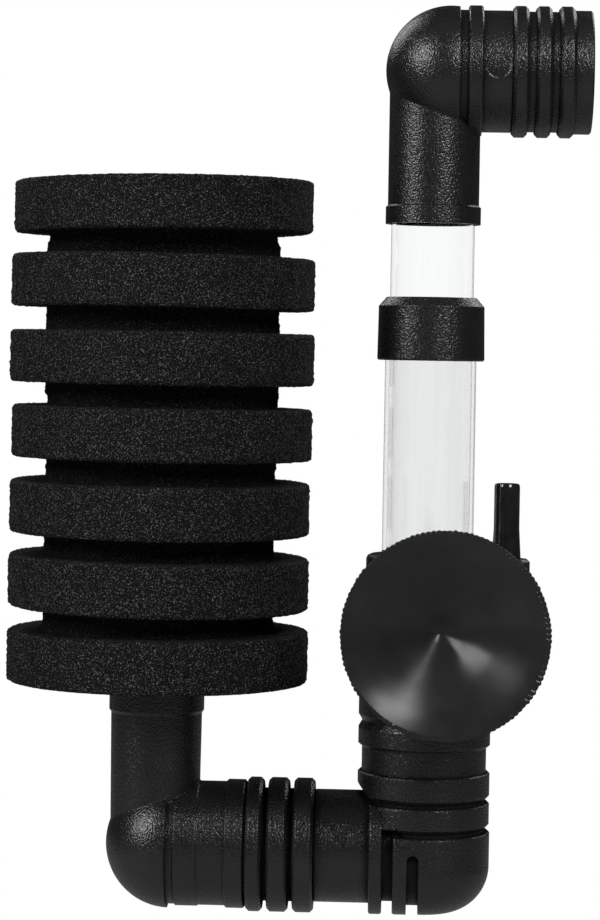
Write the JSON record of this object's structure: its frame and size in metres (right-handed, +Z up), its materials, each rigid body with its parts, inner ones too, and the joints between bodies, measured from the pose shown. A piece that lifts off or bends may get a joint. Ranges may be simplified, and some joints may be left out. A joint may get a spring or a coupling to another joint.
{
  "type": "sponge filter",
  "caption": "Air-driven sponge filter with a grooved foam cylinder, a telescopic clear riser, turning elbows, an airline nipple and a suction cup.",
  "frame": {"origin": "centre of the suction cup's rim, on the face of the glass", "axes": "+Y away from the glass, +Z up along the riser, the sponge on the -X side and the outlet towards +X"},
  "size_m": [0.1146, 0.068, 0.1815],
  "materials": {
    "moulded_black": "fine spark-eroded grain, satin",
    "clear_tube": "clear, smooth",
    "gloss_black": "smooth, glossy",
    "soft_rubber": "smooth, satin",
    "foam": "open-cell foam, fine pores"
  },
  "bodies": {
    "cup": {"suction_cup": "soft_rubber"},
    "housing": {"air_body": "moulded_black", "air_nipple": "gloss_black", "bubble_ring": "moulded_black", "cup_bracket": "moulded_black", "outer_riser_tube": "clear_tube", "slide_collar": "moulded_black", "collar_seal": "soft_rubber"},
    "riser": {"inner_riser_tube": "clear_tube"},
    "outlet": {"outlet_elbow": "moulded_black"},
    "base": {"base_elbow": "moulded_black"},
    "foot": {"foot_elbow": "moulded_black", "strainer_tube": "moulded_black"},
    "foam": {"sponge": "foam"}
  },
  "joints": [
    {"name": "cup_pivot", "type": "hinge", "parent": "cup", "child": "housing", "pos_m": [0, 0.0142, 0], "axis": [0, 1, 0], "continuous": true},
    {"name": "riser_slide", "type": "slide", "parent": "housing", "child": "riser", "axis": [0, 0, 1], "range_m": [-0.0135, 0.033]},
    {"name": "outlet_swivel", "type": "hinge", "parent": "riser", "child": "outlet", "pos_m": [-0.0034, 0.038, 0.086], "axis": [0, 0, 1], "continuous": true},
    {"name": "base_swivel", "type": "hinge", "parent": "housing", "child": "base", "pos_m": [-0.0034, 0.038, -0.0203], "axis": [0, 0, -1], "range_deg": [-8, 188]},
    {"name": "foot_swing", "type": "hinge", "parent": "base", "child": "foot", "pos_m": [-0.035, 0.038, -0.0457], "axis": [1, 0, 0], "range_deg": [-90, 3]},
    {"name": "sponge_lift", "type": "slide", "parent": "foot", "child": "foam", "axis": [0, 0, 1], "range_m": [0, 0.1]}
  ]
}
